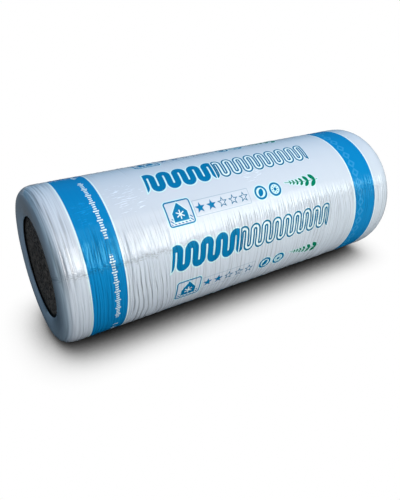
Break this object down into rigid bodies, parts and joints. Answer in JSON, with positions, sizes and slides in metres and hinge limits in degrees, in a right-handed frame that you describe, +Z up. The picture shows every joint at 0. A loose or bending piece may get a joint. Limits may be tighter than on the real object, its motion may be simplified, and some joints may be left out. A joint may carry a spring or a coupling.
{
  "type": "insulation roll",
  "caption": "Compressed roll of mineral wool insulation blanket in a polyethylene wrap with rounded shoulders and a round opening in each end.",
  "frame": {"origin": "on the floor under the middle of the roll", "axes": "+X along the roll, +Z up"},
  "size_m": [1.2, 0.4464, 0.4465],
  "materials": {
    "wool": "matt grey-brown mineral wool, the turns of the blanket edge on",
    "film": "glossy creased polyethylene film, bluish white with a blue band near each end"
  },
  "bodies": {
    "root": {"wool_roll": "wool", "film_sleeve": "film"}
  },
  "joints": []
}
